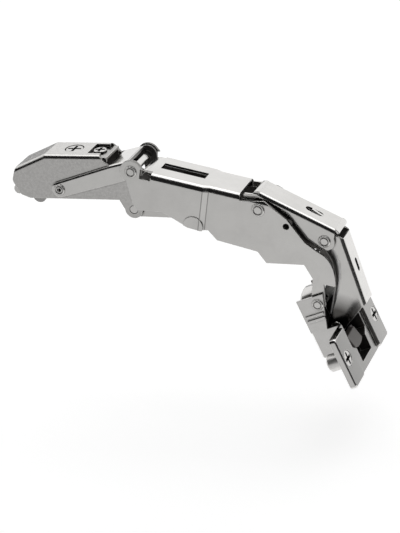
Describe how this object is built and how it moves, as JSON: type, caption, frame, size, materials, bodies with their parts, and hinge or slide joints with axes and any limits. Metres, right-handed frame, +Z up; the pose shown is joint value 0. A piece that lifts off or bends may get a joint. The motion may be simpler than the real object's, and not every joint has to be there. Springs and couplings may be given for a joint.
{
  "type": "wide-angle concealed hinge",
  "caption": "Wide-angle concealed cabinet hinge, shown open: clip-on arm, crossing folded sheet links and a round cup on a screw-on flange with dowels.",
  "frame": {"origin": "in the plane of the arm's seat, under the middle of the side adjusting screw", "axes": "+X along the arm towards the door, Y along the pivots, +Z up from the seat to the arm's web"},
  "size_m": [0.1628, 0.055, 0.1012],
  "materials": {
    "plated_sheet": "nickel-plated sheet steel, smooth and bright",
    "plated_pin": "nickel-plated turned steel",
    "plated_screw": "nickel-plated screw steel",
    "spring_steel": "oiled spring steel",
    "cast_dowel": "plated zinc casting",
    "dark_plastic": "dark grey acetal"
  },
  "bodies": {
    "arm": {"hinge_arm": "plated_sheet", "adjusting_channel": "plated_sheet", "lever_pin": "plated_pin", "lever_spring": "spring_steel", "arm_front_pin": "plated_pin", "arm_rear_rivet": "plated_pin"},
    "side_screw": {"side_adjusting_screw": "plated_screw"},
    "depth_cam": {"depth_cam": "plated_screw"},
    "release_lever": {"release_lever": "plated_sheet"},
    "rear_link": {"rear_link": "plated_sheet", "rear_link_pin": "plated_pin"},
    "inner_link": {"inner_link": "plated_sheet", "inner_link_pin": "plated_pin"},
    "outer_link": {"outer_link": "plated_sheet", "outer_link_rivets": "plated_pin", "crossing_pin": "plated_pin"},
    "cup_link": {"cup_link": "plated_sheet", "cup_link_pin": "plated_pin"},
    "cup": {"hinge_cup": "plated_sheet", "cup_pin": "plated_pin", "closing_spring": "spring_steel", "near_flange_screw": "plated_screw", "far_flange_screw": "plated_screw", "near_dowel": "cast_dowel", "far_dowel": "cast_dowel"},
    "cup_slider": {"cup_slider": "dark_plastic"}
  },
  "joints": [
    {"name": "inner_link_turn", "type": "hinge", "parent": "arm", "child": "inner_link", "pos_m": [0.029, 0, -0.0045], "axis": [0, -1, 0], "range_deg": [0, 65.08]},
    {"name": "outer_link_turn", "type": "hinge", "parent": "inner_link", "child": "outer_link", "pos_m": [0.0885, 0, -0.0026], "axis": [0, -1, 0], "range_deg": [-41.2, 0]},
    {"name": "cup_link_turn", "type": "hinge", "parent": "inner_link", "child": "cup_link", "pos_m": [0.1165, 0, -0.0179], "axis": [0, -1, 0], "range_deg": [-38.5, 0]},
    {"name": "cup_turn", "type": "hinge", "parent": "outer_link", "child": "cup", "pos_m": [0.11202, 0, -0.04659], "axis": [0, -1, 0], "range_deg": [0, 106.2]},
    {"name": "rear_link_turn", "type": "hinge", "parent": "arm", "child": "rear_link", "pos_m": [-0.0055, 0, 0.005], "axis": [0, -1, 0], "range_deg": [0, 77.5]},
    {"name": "cup_slider_press", "type": "slide", "parent": "cup", "child": "cup_slider", "axis": [-0.9397, 0, -0.342], "range_m": [0, 0.0075]},
    {"name": "side_screw_turn", "type": "hinge", "parent": "arm", "child": "side_screw", "pos_m": [0, 0, 0.0205], "axis": [0, 0, 1], "range_deg": [-720, 720]},
    {"name": "depth_cam_turn", "type": "hinge", "parent": "arm", "child": "depth_cam", "pos_m": [0.0126, 0, 0.0205], "axis": [0, 0, 1], "range_deg": [-180, 180]},
    {"name": "release_lever_press", "type": "hinge", "parent": "arm", "child": "release_lever", "pos_m": [-0.019, 0, 0.009], "axis": [0, 1, 0], "range_deg": [0, 8], "stiffness_Nm_per_rad": 0.15}
  ],
  "couplings": [
    {"joint": "outer_link_turn", "follows": "inner_link_turn", "ratio": -0.63274},
    {"joint": "cup_link_turn", "follows": "inner_link_turn", "ratio": -0.59085},
    {"joint": "cup_turn", "follows": "inner_link_turn", "ratio": 1.6304},
    {"joint": "rear_link_turn", "follows": "inner_link_turn", "ratio": 1.19},
    {"joint": "cup_slider_press", "follows": "inner_link_turn", "m_per_rad": 0.0065152}
  ]
}
